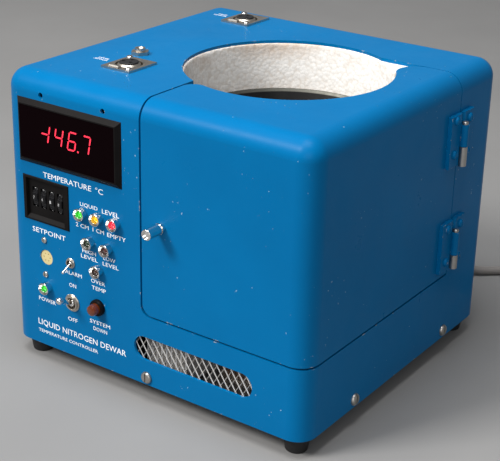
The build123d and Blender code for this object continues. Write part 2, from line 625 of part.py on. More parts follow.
# ---- Sockets in the top ----------------------------------------------------------------
def socket_plate(x, y):
    width, length, thick = SOCKET_SIZE
    plate = block(x - width / 2, x + width / 2, y - length / 2, y + length / 2, TOP, TOP + thick)
    plate += rod((x, y, TOP - SOCKET_DEPTH), UP, SOCKET_TUBE, SOCKET_DEPTH)
    plate -= rod((x, y, TOP - SOCKET_DEPTH + 2), UP, SOCKET_HOLE, SOCKET_DEPTH + 5)
    plate += turned([(7.0, 0), (8.6, 0), (8.6, 20.0), (7.3, 21.4), (7.0, 21.4)],
                    (x, y, TOP - SOCKET_DEPTH + 1), UP)
    tab_x, tab_y = x + TAB_OFFSET[0], y + TAB_OFFSET[1]
    plate -= block(tab_x - TAB_SLOT[0] + 0.1, tab_x + TAB_SLOT[0] - 0.1,
                   tab_y - TAB_SLOT[1] + 0.1, tab_y + TAB_SLOT[1] - 0.1, TOP - 40, TOP + 4)
    for side in (1, -1):
        place = (x + side * SOCKET_SCREW[0], y + side * SOCKET_SCREW[1], TOP - 1)
        plate -= rod(place, UP, 1.6, 5)
    return plate


def socket_insert(x, y):
    insert = rod((x, y, TOP - SOCKET_DEPTH + 2), UP, 7.0, 21.6)
    insert = fillet(insert.faces().sort_by(Axis.Z)[-1].edges(), 0.6)
    for turn in range(3):
        angle = math.radians(90 + 120 * turn)
        insert -= rod((x + 3.8 * math.cos(angle), y + 3.8 * math.sin(angle), TOP - 8), UP, 1.35, 20)
    return insert


def socket_tab(x, y):
    tab_x, tab_y = x + TAB_OFFSET[0], y + TAB_OFFSET[1]
    half_w, half_l = TAB_SIZE[0] / 2, TAB_SIZE[1] / 2
    tab = block(tab_x - half_w, tab_x + half_w, tab_y - half_l, tab_y + half_l, TOP - 10, TOP + 3.0)
    return chamfer(tab.faces().sort_by(Axis.Z)[-1].edges(), 0.6)


write_group("probe_socket_plates", [socket_plate(x, y) for x, y in SOCKETS])
write_group("probe_socket_inserts", [socket_insert(x, y) for x, y in SOCKETS])
write("front_latch_tab", socket_tab(*SOCKETS[0]))
write("rear_latch_tab", socket_tab(*SOCKETS[1]))
socket_screws = []
for x, y in SOCKETS:
    for side in (1, -1):
        place = (x + side * SOCKET_SCREW[0], y + side * SOCKET_SCREW[1], TOP + SOCKET_SIZE[2])
        socket_screws.append(round_screw(place, UP, 2.6, 1.7, 1.5, 7.0))
write_group("socket_screws", socket_screws)

x, y = JACK
jack = rod((x, y, TOP - 22), UP, 6.0, 22 - SHEET) + rod((x, y, TOP_IN), UP, 3.9, SHEET + 4.9)
jack += hexagon((x, y, TOP), UP, 12.0, 2.6)
jack -= rod((x, y, TOP - 12), UP, 1.8, 30)
jack -= rod((x, y, TOP + 3.5), UP, 1.8, 1.5, 3.0)
write("sensor_jack", jack)


# ---- Electronics -----------------------------------------------------------------------
BOARD_X, BOARD_THICK = -124.0, 1.6
write("control_board", block(BOARD_X, BOARD_X + BOARD_THICK, -40, 100, 40, 180))
face = BOARD_X + BOARD_THICK
components = [block(face, face + 15, -34, -14, 46, 76), block(face, face + 12, -8, 8, 46, 66)]
for row in range(4):
    for column in range(3):
        y0, z0 = 18 + 27 * column, 52 + 32 * row
        components.append(block(face, face + 3.6, y0, y0 + 19, z0, z0 + 7))
for row in range(3):
    components.append(rod((face, -22, 100 + 26 * row), (1, 0, 0), 5.0, 14))
write_group("board_components", components)
write_group("board_spacers", [rod((LEFT_IN, y, z), (1, 0, 0), 3.0, BOARD_X - LEFT_IN)
                              for y in (-34, 94) for z in (46 - 3, 177)])

core = block(34, 94, -88, -66, 15.5, 63.5)
for side in (-1, 1):
    core -= block(64 + side * 15 - 5, 64 + side * 15 + 5, -100, -50, 24.5, 54.5)
write("transformer_core", core)
winding = block(45, 83, -96, -58, 25, 54) - block(54, 74, -88, -66, 20, 60)
write("transformer_winding", winding)

sink = block(-10, 26, -84, -80, 15.5, 58)
for fin in range(9):
    sink += block(-10 + 4.3 * fin, -8.6 + 4.3 * fin, -116, -84, 17.5, 58)
write("heat_sink", sink)


# ---- Mains cord ------------------------------------------------------------------------
RELIEF_LENGTH = 25.0
relief = rod((CORD_X, BACK_IN, CORD_Z), (0, 1, 0), 6.4, SHEET)
relief += rod((CORD_X, BACK, CORD_Z), (0, 1, 0), 8.5, 2.5)
relief += rod((CORD_X, BACK + 2.5, CORD_Z), (0, 1, 0), 6.2, RELIEF_LENGTH - 2.5, 4.3)
relief += rod((CORD_X, BACK_IN - 5, CORD_Z), (0, 1, 0), 8.0, 5)
write("cord_strain_relief", relief)

FLOOR_Z = CORD_RADIUS + 0.1
route = [(CORD_X, BACK + RELIEF_LENGTH, CORD_Z), (62.0, 172.0, CORD_Z), (64.5, 190.5, 24.0),
         (73.5, 203.0, 12.0), (88.0, 214.0, 4.2), (106.0, 229.5, FLOOR_Z),
         (126.0, 249.0, FLOOR_Z), (150.0, 263.0, FLOOR_Z), (178.0, 268.5, FLOOR_Z)]


def corner_radii(points):
    """For each corner, 0.45 of its shorter run over the tangent of half its turn."""
    radii = []
    for before, here, after in zip(points, points[1:], points[2:]):
        into, away = Vector(*here) - Vector(*before), Vector(*after) - Vector(*here)
        half_turn = math.radians(into.get_angle(away)) / 2
        radii.append(0.45 * min(into.length, away.length) / math.tan(half_turn))
    return radii


radii = corner_radii(route)
path = FilletPolyline(*route, radius=radii)
section = Plane(origin=path @ 0, z_dir=path % 0) * Circle(CORD_RADIUS)
cord = sweep(section, path)
print("cord radii", [round(r, 1) for r in radii])
print("cord length", round(path.length, 1), "volume share",
      round(cord.volume / (math.pi * CORD_RADIUS**2 * path.length), 4))
write("mains_cord", cord)

TURN_PITCH = 2 * CORD_RADIUS + 0.2
COIL_FOOT = 0.9
coil_width, coil_height = 3 * TURN_PITCH, 2 * TURN_PITCH
ring = rod((COIL_X, COIL_Y, COIL_FOOT), UP, COIL_MID_RADIUS + coil_width / 2, coil_height)
ring -= rod((COIL_X, COIL_Y, -1), UP, COIL_MID_RADIUS - coil_width / 2, coil_height + 5)
ring = fillet(ring.edges().filter_by(GeomType.CIRCLE), 3.0)
write("cord_coil", ring)

TAIL_LENGTH, PLUG_RELIEF, PLUG_HEAD = 46.0, 20.0, 26.0
plug_x, plug_z = COIL_X + COIL_MID_RADIUS + TURN_PITCH, 11.2
tail = rod((plug_x, COIL_Y, plug_z), OUT, CORD_RADIUS, TAIL_LENGTH)
write("cord_tail", tail)
coil_length = CORD_LENGTH - path.length - TAIL_LENGTH
print("turns in the coil", round(coil_length / (math.tau * COIL_MID_RADIUS), 2))

plug_y = COIL_Y - TAIL_LENGTH
plug = rod((plug_x, plug_y, plug_z), OUT, 4.3, PLUG_RELIEF, 6.5)
face = plug_y - PLUG_RELIEF - PLUG_HEAD
head = block(plug_x - 13, plug_x + 13, face, face + PLUG_HEAD, plug_z - 10.5, plug_z + 10.5)
head = fillet(head.edges().filter_by(Axis.Y), 7.0)
head = fillet(head.faces().sort_by(Axis.Y)[-1].edges(), 4.0)
write("plug_body", plug + head)
pins = [block(plug_x + side * 6.35 - 0.75, plug_x + side * 6.35 + 0.75, face - 17, face,
              plug_z - 0.8, plug_z + 5.5) for side in (-1, 1)]
pins.append(rod((plug_x, face, plug_z - 5.6), OUT, 2.4, 20))
write_group("plug_pins", pins)

print("nodes", len(written))
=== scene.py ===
"""Looks for the bench liquid nitrogen dewar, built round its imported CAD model.

Blender works in metres, in the model's own frame: X to the right, Y to the back, Z up from the
table. Places are written from the middle of the casing: in metres for the mains cord, and in
millimetres for the camera, the words and the small forms.
"""
import json
import math

import bmesh
import bpy
from mathutils import Matrix, Vector, noise

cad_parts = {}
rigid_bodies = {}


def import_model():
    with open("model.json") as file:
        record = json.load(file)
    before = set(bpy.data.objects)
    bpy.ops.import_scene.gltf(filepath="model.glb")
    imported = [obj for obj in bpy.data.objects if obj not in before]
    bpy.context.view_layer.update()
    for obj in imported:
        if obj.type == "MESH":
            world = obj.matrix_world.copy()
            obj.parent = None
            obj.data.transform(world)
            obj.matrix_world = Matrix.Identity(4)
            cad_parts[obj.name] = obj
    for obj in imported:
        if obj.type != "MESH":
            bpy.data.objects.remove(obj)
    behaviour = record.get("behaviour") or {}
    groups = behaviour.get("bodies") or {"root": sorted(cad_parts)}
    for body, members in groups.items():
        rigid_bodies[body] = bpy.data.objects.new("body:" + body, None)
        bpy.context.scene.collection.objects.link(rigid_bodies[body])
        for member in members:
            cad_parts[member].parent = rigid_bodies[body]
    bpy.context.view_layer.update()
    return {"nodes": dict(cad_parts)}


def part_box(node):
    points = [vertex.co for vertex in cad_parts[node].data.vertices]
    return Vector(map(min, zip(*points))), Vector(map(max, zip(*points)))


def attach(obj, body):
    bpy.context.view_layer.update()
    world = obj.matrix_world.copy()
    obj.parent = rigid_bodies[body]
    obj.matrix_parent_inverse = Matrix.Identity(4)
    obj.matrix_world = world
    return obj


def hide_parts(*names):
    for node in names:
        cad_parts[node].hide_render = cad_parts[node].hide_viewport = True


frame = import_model()
nodes = frame["nodes"]

MM = 0.001
case_low, case_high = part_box("casing_shell")
MIDDLE = Vector(((case_low.x + case_high.x) / 2, (case_low.y + case_high.y) / 2, 0.0))
PANEL, TOP = case_low.y, case_high.z


def at(x, y, z):
    """A point of the frame, from millimetres from the middle of the casing."""
    return MIDDLE + Vector((x, y, z)) * MM


def middle_of(low, high):
    return (low + high) / 2


def solids(node):
    """The lowest and highest corner of each separate solid in a CAD node, by height and then by X."""
    form = bmesh.new()
    form.from_mesh(nodes[node].data)
    bmesh.ops.remove_doubles(form, verts=form.verts, dist=1e-6)
    boxes, seen = [], set()
    for first in form.verts:
        if first in seen:
            continue
        group, waiting = [], [first]
        seen.add(first)
        while waiting:
            here = waiting.pop()
            group.append(here.co.copy())
            for edge in here.link_edges:
                other = edge.other_vert(here)
                if other not in seen:
                    seen.add(other)
                    waiting.append(other)
        boxes.append((Vector([min(p[i] for p in group) for i in range(3)]),
                      Vector([max(p[i] for p in group) for i in range(3)])))
    form.free()
    return sorted(boxes, key=lambda b: (-round(b[0].z, 3), b[0].x))


# ---- Camera ----------------------------------------------------------------------------
EYE = (515.24, -744.25, 480.08)
YAW, PITCH, ROLL = (math.radians(a) for a in (-35.203, 22.462, 1.258))
FOCAL_LENGTH, SENSOR_WIDTH = 92.854, 36.0
SHIFT_X, SHIFT_Y = 0.01252, -0.03606


def make_camera():
    ahead = Vector((math.sin(YAW) * math.cos(PITCH), math.cos(YAW) * math.cos(PITCH), -math.sin(PITCH)))
    level = Vector((math.cos(YAW), -math.sin(YAW), 0))
    upright = level.cross(ahead)
    right = math.cos(ROLL) * level + math.sin(ROLL) * upright
    above = -math.sin(ROLL) * level + math.cos(ROLL) * upright
    camera = bpy.data.objects.new("camera", bpy.data.cameras.new("camera"))
    bpy.context.scene.collection.objects.link(camera)
    axes = Matrix((right, above, -ahead)).transposed()
    camera.matrix_world = Matrix.Translation(at(*EYE)) @ axes.to_4x4()
    camera.data.lens = FOCAL_LENGTH
    camera.data.sensor_width = SENSOR_WIDTH
    camera.data.shift_x, camera.data.shift_y = SHIFT_X, SHIFT_Y
    bpy.context.scene.camera = camera


make_camera()
# The default transform greys the blue paint.
bpy.context.scene.view_settings.view_transform = "Standard"


# ---- Making pieces ---------------------------------------------------------------------
def piece(name, mesh, finish, body="root", smooth=True):
    """A mesh made into a shown piece that rides on a body."""
    for face in mesh.polygons:
        face.use_smooth = smooth
    mesh.materials.clear()
    mesh.materials.append(finish)
    made = bpy.data.objects.new(name, mesh)
    bpy.context.scene.collection.objects.link(made)
    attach(made, body)
    return made


def mesh_of(name, points, faces):
    mesh = bpy.data.meshes.new(name)
    mesh.from_pydata([tuple(p) for p in points], [], faces)
    mesh.update()
    return mesh


def joined(name, parts):
    """One mesh from several lists of points and faces."""
    points, faces = [], []
    for part_points, part_faces in parts:
        start = len(points)
        points += part_points
        faces += [[start + i for i in face] for face in part_faces]
    return mesh_of(name, points, faces)


def lathe(profile, foot, axis, sides=40):
    """A turned form: profile is (radius, distance) in millimetres along a unit axis from foot."""
    side = axis.orthogonal().normalized()
    other = axis.cross(side)
    points, faces = [], []
    for radius, along in profile:
        for step in range(sides):
            turn = math.tau * step / sides
            outwards = side * math.cos(turn) + other * math.sin(turn)
            points.append(foot + (axis * along + outwards * radius) * MM)
    for ring in range(len(profile) - 1):
        for step in range(sides):
            nearby = (step + 1) % sides
            faces.append([ring * sides + step, ring * sides + nearby,
                          (ring + 1) * sides + nearby, (ring + 1) * sides + step])
    faces.append(list(range(sides))[::-1])
    faces.append([(len(profile) - 1) * sides + step for step in range(sides)])
    return points, faces


def bar(start, end, across, width, thick):
    """A flat bar from start to end, its width lying along across."""
    along = (end - start).normalized()
    flat = (across - along * across.dot(along)).normalized() * width / 2
    deep = along.cross(flat).normalized() * thick / 2
    corners = ((-1, -1), (1, -1), (1, 1), (-1, 1))
    points = [place + a * flat + b * deep for place in (start, end) for a, b in corners]
    faces = [[0, 1, 2, 3], [7, 6, 5, 4], [0, 4, 5, 1], [1, 5, 6, 2], [2, 6, 7, 3], [3, 7, 4, 0]]
    return points, faces


def plate(outline, place, along, up, thick):
    """A flat form with the given outline (millimetres), its back on place and its face out."""
    out = along.cross(up)
    count = len(outline)
    points = [place + (along * x + up * y) * MM for x, y in outline]
    points += [p + out * thick for p in points]
    faces = [list(range(count))[::-1], list(range(count, 2 * count))]
    faces += [[i, (i + 1) % count, count + (i + 1) % count, count + i] for i in range(count)]
    return points, faces


RIGHTWARD, BACKWARD, UPWARD = Vector((1, 0, 0)), Vector((0, 1, 0)), Vector((0, 0, 1))


def lettering(words, place, along, up, height, width, thick=0.04):
    """Points and faces of words in a plain typeface, standing on place and centred on it."""
    text = bpy.data.curves.new("words", "FONT")
    text.body = words
    text.resolution_u = 2
    holder = bpy.data.objects.new("words", text)
    bpy.context.scene.collection.objects.link(holder)
    flat = bpy.data.meshes.new_from_object(holder.evaluated_get(bpy.context.evaluated_depsgraph_get()))
    bpy.data.objects.remove(holder)
    low_x, high_x = min(v.co.x for v in flat.vertices), max(v.co.x for v in flat.vertices)
    low_y, high_y = min(v.co.y for v in flat.vertices), max(v.co.y for v in flat.vertices)
    tall = height / (high_y - low_y)
    wide = width / (high_x - low_x)
    out = along.cross(up)
    count = len(flat.vertices)
    lift = out * thick * MM
    points = []
    for vertex in flat.vertices:
        sideways = along * (vertex.co.x - (low_x + high_x) / 2) * wide
        upwards = up * (vertex.co.y - low_y) * tall
        points.append(place + (sideways + upwards) * MM + lift)
    points += [point - lift for point in points]
    form = bmesh.new()
    form.from_mesh(flat)
    faces = [[v.index for v in face.verts] for face in form.faces]
    rims = [[e.verts[0].index, e.verts[1].index, e.verts[1].index + count, e.verts[0].index + count]
            for e in form.edges if len(e.link_faces) == 1]
    form.free()
    bpy.data.meshes.remove(flat)
    return points, faces + rims


# ---- Materials -------------------------------------------------------------------------
class Finish:
    """A node material: constants on the shader's own sockets, and detail added by its methods."""

    def __init__(self, name, colour, roughness, **values):
        self.material = bpy.data.materials.new(name)
        self.material.use_nodes = True
        self.tree = self.material.node_tree
        self.shader = self.tree.nodes["Principled BSDF"]
        self.shader.inputs["Base Color"].default_value = (*colour, 1)
        self.shader.inputs["Roughness"].default_value = roughness
        for socket, value in values.items():
            self.shader.inputs[socket.replace("_", " ")].default_value = value
        self.place = self.tree.nodes.new("ShaderNodeTexCoord").outputs["Object"]

    def node(self, kind, inputs=(), **settings):
        made = self.tree.nodes.new("ShaderNode" + kind)
        for key, value in settings.items():
            setattr(made, key, value)
        for key, value in dict(inputs).items():
            if isinstance(value, bpy.types.NodeSocket):
                self.tree.links.new(value, made.inputs[key])
            else:
                made.inputs[key].default_value = value
        return made

    def to(self, socket, value):
        self.tree.links.new(value, self.shader.inputs[socket])

    def stretched(self, scale):
        return self.node("Mapping", {"Vector": self.place, "Scale": scale}).outputs["Vector"]

    def noise(self, scale, detail=3.0, rough=0.55, stretch=None):
        place = self.stretched(stretch) if stretch else self.place
        return self.node("TexNoise", {"Vector": place, "Scale": scale, "Detail": detail,
                                      "Roughness": rough}).outputs["Fac"]

    def cells(self, scale, output="Distance"):
        return self.node("TexVoronoi", {"Vector": self.place, "Scale": scale}).outputs[output]

    def range(self, value, low, high, first=0.0, last=1.0):
        return self.node("MapRange", {"Value": value, "From Min": low, "From Max": high,
                                      "To Min": first, "To Max": last}).outputs["Result"]

    def maths(self, operation, first, second):
        return self.node("Math", {0: first, 1: second}, operation=operation).outputs[0]

    def mix(self, share, first, second):
        made = self.node("Mix", {0: share}, data_type="RGBA")
        for index, value in ((6, first), (7, second)):
            if isinstance(value, bpy.types.NodeSocket):
                self.tree.links.new(value, made.inputs[index])
            else:
                made.inputs[index].default_value = (*value, 1)
        return made.outputs[2]

    def bump(self, height, distance, strength=1.0, under=None):
        inputs = {"Height": height, "Distance": distance, "Strength": strength}
        if under:
            inputs["Normal"] = under
        return self.node("Bump", inputs).outputs["Normal"]

    def height_above(self, low, high):
        """0 below low and 1 above high, both in metres up the frame."""
        split = self.node("SeparateXYZ", {"Vector": self.place})
        return self.range(split.outputs["Z"], low, high)

    def edges(self, radius):
        """1 along the form's sharp edges, 0 on its flats."""
        rounded = self.node("Bevel", {"Radius": radius}, samples=4).outputs["Normal"]
        true = self.node("NewGeometry").outputs["Normal"]
        turned = self.node("VectorMath", {0: rounded, 1: true}, operation="DOT_PRODUCT").outputs["Value"]
        return self.range(turned, 0.998, 0.93)


def blue_enamel():
    """Semi-gloss enamel over steel: faint orange peel, pale specks, chips along the cut edges."""
    paint = Finish("blue_enamel", (0.0, 0.130, 0.33), 0.26, Specular_IOR_Level=0.1, IOR=1.4)
    cloudy = paint.noise(9, 4)
    colour = paint.mix(paint.range(cloudy, 0.35, 0.7), (0.0, 0.122, 0.312), (0.0, 0.139, 0.35))
    specks = paint.range(paint.noise(420, 2, 0.5), 0.735, 0.76)
    specks = paint.maths("MULTIPLY", specks, paint.range(paint.noise(24, 2), 0.5, 0.62))
    colour = paint.mix(specks, colour, (0.42, 0.52, 0.58))
    patches = paint.range(paint.noise(150, 4, 0.6), 0.61, 0.66)
    chipped = paint.maths("MULTIPLY", paint.edges(0.0011), patches)
    bare = paint.mix(paint.range(paint.noise(300, 2), 0.4, 0.6), (0.07, 0.055, 0.05), (0.5, 0.5, 0.48))
    paint.to("Base Color", paint.mix(chipped, colour, bare))
    wear = paint.range(paint.noise(38, 5, 0.65), 0.3, 0.75, 0.27, 0.42)
    paint.to("Roughness", paint.maths("ADD", wear, paint.maths("MULTIPLY", chipped, 0.3)))
    peel = paint.bump(paint.noise(700, 2, 0.4), 0.00012, 0.18)
    paint.to("Normal", paint.bump(paint.maths("SUBTRACT", 1.0, chipped), 0.0002, 0.7, peel))
    return paint.material


def brushed(name, colour, roughness, grain=(1, 1, 14), tarnish=0.25, metallic=1.0):
    """A plated or bare metal with fine grain lines and dull patches."""
    metal = Finish(name, colour, roughness, Metallic=metallic)
    patches = metal.range(metal.noise(55, 4, 0.6), 0.35, 0.7)
    dull = tuple(c * (1 - tarnish) for c in colour)
    metal.to("Base Color", metal.mix(patches, colour, dull))
    lines = metal.noise(900, 2, 0.5, stretch=grain)
    metal.to("Roughness", metal.range(lines, 0.3, 0.7, roughness * 0.8, min(1, roughness * 1.25)))
    metal.to("Normal", metal.bump(lines, 0.00005, 0.25))
    return metal.material


def plastic(name, colour, roughness, grain=600, depth=0.00006, strength=0.3, **values):
    """Moulded plastic or rubber with a fine grain and slight unevenness of shade."""
    made = Finish(name, colour, roughness, **values)
    shade = made.range(made.noise(40, 3), 0.3, 0.7)
    paler = tuple(min(1, c * 1.25 + 0.002) for c in colour)
    made.to("Base Color", made.mix(shade, colour, paler))
    fine = made.noise(grain, 3, 0.6)
    made.to("Roughness", made.range(fine, 0.25, 0.75, max(0.02, roughness - 0.08), roughness + 0.08))
    made.to("Normal", made.bump(fine, depth, strength))
    return made.material


def lamp(name, colour, glow):
    """A tinted lamp lens, lit if glow is above nought."""
    lens = Finish(name, colour, 0.12, Coat_Weight=0.6, Coat_Roughness=0.05)
    core = lens.range(lens.noise(900, 2), 0.3, 0.7)
    lens.to("Base Color", lens.mix(core, colour, tuple(c * 0.7 for c in colour)))
    lens.shader.inputs["Emission Color"].default_value = (*colour, 1)
    lens.shader.inputs["Emission Strength"].default_value = glow
    lens.to("Normal", lens.bump(lens.noise(1400, 1), 0.00003, 0.2))
    return lens.material


def bead_foam():
    """Moulded bead foam: 3 to 4 mm beads with painted shade in the creases between them, cream stains that
    gather at the rim and low down.
    """
    foam = Finish("bead_foam", (0.93, 0.91, 0.88), 0.85)
    bead = foam.cells(360)
    tone = foam.node("SeparateColor", {"Color": foam.cells(360, "Color")}).outputs[0]
    colour = foam.mix(foam.range(tone, 0, 1), (0.95, 0.935, 0.91), (0.87, 0.85, 0.82))
    # Painted shade: the colour darkens towards each bead's edge, in the creases between beads.
    colour = foam.mix(foam.range(bead, 0.5, 0.85, 0, 0.6), colour, (0.72, 0.66, 0.59))
    stain = foam.range(foam.noise(24, 6, 0.7), 0.40, 0.66)
    rim = foam.height_above(TOP - 0.017, TOP - 0.001)
    low = foam.range(foam.height_above(TOP - 0.045, TOP - 0.024), 0, 1, 1, 0)
    where = foam.maths("MAXIMUM", foam.maths("MULTIPLY", rim, 0.85), foam.maths("MULTIPLY", low, 0.42))
    colour = foam.mix(foam.maths("MULTIPLY", stain, where), colour, (0.50, 0.33, 0.20))
    foam.to("Base Color", colour)
    rough = foam.bump(foam.noise(1500, 3, 0.7), 0.00012, 0.35)
    foam.to("Normal", foam.bump(foam.range(bead, 0.2, 0.8, 1, 0), 0.00035, 0.35, rough))
    return foam.material


def vessel_lining():
    """The vessel's inside: matt black, with its bare metal lip at the mouth."""
    # Near black below a bare metal lip at the mouth, with faint random patches.
    inside_finish = Finish("vessel_lining", (0.004, 0.004, 0.005), 0.5, Specular_IOR_Level=0.2)
    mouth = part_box("vessel_inner_wall")[1].z
    lip = inside_finish.height_above(mouth - 0.0022, mouth - 0.0018)
    frost = inside_finish.range(inside_finish.noise(60, 5, 0.6), 0.5, 0.75)
    dark = inside_finish.mix(frost, (0.002, 0.002, 0.0025), (0.006, 0.006, 0.007))
    inside_finish.to("Base Color", inside_finish.mix(lip, dark, (0.13, 0.128, 0.112)))
    inside_finish.to("Metallic", lip)
    inside_finish.to("Roughness", inside_finish.range(inside_finish.noise(140, 3), 0.3, 0.7, 0.45, 0.6))
    inside_finish.to("Normal", inside_finish.bump(inside_finish.noise(500, 3), 0.0001, 0.3))
    return inside_finish.material


def circuit_board():
    """Green board with a pattern of tracks."""
    board = Finish("circuit_board", (0.015, 0.12, 0.06), 0.4)
    bricks = {"Vector": board.place, "Scale": 60.0, "Mortar Size": 0.05}
    tracks = board.node("TexBrick", bricks).outputs["Fac"]
    board.to("Base Color", board.mix(tracks, (0.012, 0.11, 0.05), (0.03, 0.2, 0.09)))
    board.to("Normal", board.bump(tracks, 0.00004, 0.5))
    return board.material


def laminations():
    """A transformer core's stacked sheets."""
    core = Finish("laminations", (0.12, 0.10, 0.085), 0.5, Metallic=0.6)
    sheets = core.node("TexWave", {"Vector": core.place, "Scale": 320.0, "Distortion": 0.4},
                       bands_direction="Y").outputs["Fac"]
    core.to("Base Color", core.mix(sheets, (0.07, 0.06, 0.05), (0.19, 0.16, 0.13)))
    core.to("Normal", core.bump(sheets, 0.0001, 0.5))
    return core.material


def tinted_window():
    """Dark red acrylic over the meter's digits, with faint dust."""
    window = Finish("tinted_window", (0.003, 0.001, 0.0015), 0.07, Specular_IOR_Level=0.05, IOR=1.2)
    dust = window.range(window.noise(300, 4, 0.7), 0.64, 0.82)
    window.to("Base Color", window.mix(dust, (0.003, 0.001, 0.0015), (0.009, 0.006, 0.006)))
    window.to("Roughness", window.range(window.noise(25, 3), 0.3, 0.7, 0.05, 0.12))
    return window.material


BLUE = blue_enamel()
NICKEL = brushed("satin_nickel", (0.62, 0.57, 0.50), 0.34, tarnish=0.3)
CHROME = brushed("chrome_plate", (0.82, 0.81, 0.79), 0.10, tarnish=0.18)
SCREW = brushed("plated_screw", (0.60, 0.58, 0.54), 0.36, tarnish=0.35)
STEEL = brushed("bare_steel", (0.50, 0.49, 0.47), 0.38, grain=(1, 1, 6), tarnish=0.4)
ZINC = brushed("zinc_sheet", (0.60, 0.61, 0.62), 0.42, grain=(1, 1, 1), tarnish=0.2)
VESSEL = brushed("vessel_steel", (0.42, 0.43, 0.44), 0.3, grain=(1, 1, 10))
# Painted highlight: the vent mesh's front-facing strands, made pale and bright to look lit.
MESH_PAINTED_HIGHLIGHT = brushed("vent_mesh_painted_highlight", (0.95, 0.93, 0.90), 0.3, grain=(1, 1, 1), tarnish=0.1, metallic=0.4)
FINS = brushed("fin_aluminium", (0.90, 0.88, 0.85), 0.5, grain=(6, 1, 1), tarnish=0.1, metallic=0.5)
BRASS = brushed("plug_brass", (0.70, 0.55, 0.26), 0.28)
RUBBER = plastic("black_rubber", (0.010, 0.010, 0.011), 0.62, grain=500, depth=0.00015, strength=0.5,
                 Specular_IOR_Level=0.35)
BLACK = plastic("black_plastic", (0.004, 0.0035, 0.0035), 0.4, Specular_IOR_Level=0.15, IOR=1.35)
WHEEL = plastic("wheel_plastic", (0.004, 0.004, 0.005), 0.2, strength=0.1, Specular_IOR_Level=0.3)
CREAM = plastic("cream_plastic", (0.60, 0.50, 0.24), 0.55, grain=300, depth=0.0002, strength=0.5)
NYLON = plastic("nylon", (0.80, 0.78, 0.72), 0.5)
COMPONENT = plastic("component_black", (0.02, 0.02, 0.022), 0.4)
MAGNET = plastic("magnet_block", (0.09, 0.065, 0.05), 0.6, grain=900, depth=0.0001, strength=0.5)
WINDING = plastic("taped_winding", (0.10, 0.045, 0.02), 0.4, grain=260, depth=0.0002, strength=0.6)
CORD = plastic("grey_vinyl", (0.20, 0.185, 0.175), 0.42, grain=900, depth=0.00005, strength=0.3)
PRINT = plastic("white_ink", (0.86, 0.88, 0.88), 0.5, grain=1500, depth=0.00002, strength=0.2)
FADED = plastic("worn_ink", (0.42, 0.42, 0.42), 0.4, grain=1500, depth=0.00002, strength=0.2)
# Painted shade: the same vent mesh's edge-on strands, made dark grey to look unlit.
MESH_PAINTED_SHADE = brushed("vent_strands_painted_shade", (0.42, 0.40, 0.38), 0.35, grain=(1, 1, 1), tarnish=0.3, metallic=0.4)
FOAM = bead_foam()
VESSEL_INSIDE = vessel_lining()
WINDOW = tinted_window()
AMBER = lamp("amber_lens", (0.11, 0.02, 0.002), 0.25)

finish_of = {
    "casing_shell": BLUE, "door_shell": BLUE, "door_hinge_leaves": BLUE, "casing_hinge_leaves": BLUE,
    "base_pan": ZINC, "deck_plate": ZINC, "panel_screws": SCREW, "foot_screws": SCREW, "knob_screw": SCREW,
    "door_hinge_screws": BLUE, "casing_hinge_screws": BLUE, "buzzer_screws": SCREW,
    "socket_screws": CHROME, "hinge_pins": STEEL, "vessel_outer_wall": VESSEL, "vessel_inner_wall": VESSEL_INSIDE,
    "door_knob": CHROME, "catch_magnet": MAGNET, "meter_bezel": BLACK, "meter_window": WINDOW,
    "meter_housing": BLACK, "meter_digits": COMPONENT, "thumbwheel_housing": BLACK, "led_bezels": CHROME,
    "warning_lamp_bezel": BLACK, "warning_lamp_lens": AMBER, "buzzer": CREAM, "toggle_switch_bodies": NICKEL,
    "alarm_lever": CHROME, "power_lever": CHROME, "probe_socket_plates": NICKEL,
    "probe_socket_inserts": RUBBER, "front_latch_tab": NICKEL, "rear_latch_tab": NICKEL,
    "sensor_jack": NICKEL, "control_board": circuit_board(), "board_components": COMPONENT,
    "board_spacers": NYLON, "transformer_core": laminations(), "transformer_winding": WINDING,
    "heat_sink": FINS, "cord_strain_relief": RUBBER, "plug_body": CORD, "plug_pins": BRASS,
}
for name in nodes:
    if name.startswith("rubber_foot"):
        finish_of[name] = RUBBER
    if name.startswith("thumbwheel_") and name != "thumbwheel_housing":
        finish_of[name] = WHEEL
for name, finish in finish_of.items():
    nodes[name].data.materials.clear()
    nodes[name].data.materials.append(finish)


# ---- Mains cord ------------------------------------------------------------------------
CORD_RADIUS = 0.00365
PITCH_OF_TURNS = 0.0075
ROUTE = [(0.062, 0.152, 0.033), (0.062, 0.172, 0.033), (0.0645, 0.1905, 0.024), (0.0735, 0.203, 0.012),
         (0.088, 0.214, 0.0042), (0.106, 0.2295, 0.00375), (0.126, 0.249, 0.00375),
         (0.150, 0.263, 0.00375), (0.178, 0.2685, 0.00375)]
TAIL = [(0.2295, 0.213, 0.0194), (0.2295, 0.202, 0.0180), (0.2295, 0.190, 0.0132),
        (0.2295, 0.181, 0.0113), (0.2295, 0.175, 0.0112), (0.2295, 0.168, 0.0112)]
COIL_X, COIL_Y, COIL_RADIUS, COIL_FOOT = 0.182, 0.2212, 0.040, 0.0009
POINTS_PER_TURN, TURNS = 16, 6.25
# The spline's line runs this much inside a ring of control points.
POLYGON_SHRINK = math.cos(math.pi / POINTS_PER_TURN)


def eased(turn, start, width=0.15):
    share = min(1.0, max(0.0, (turn - start) / width))
    return share * share * (3 - 2 * share)


def winding(turn):
    """Radius and height of the cord's middle: inwards on the floor, outwards above, last turn on top."""
    inwards = eased(turn, 0.85) + eased(turn, 1.85)
    outwards = eased(turn, 3.6) + eased(turn, 4.6)
    layer = eased(turn, 2.75) + eased(turn, 5.45)
    return (COIL_RADIUS + PITCH_OF_TURNS * (1 - inwards + outwards),
            COIL_FOOT + CORD_RADIUS + PITCH_OF_TURNS * layer)


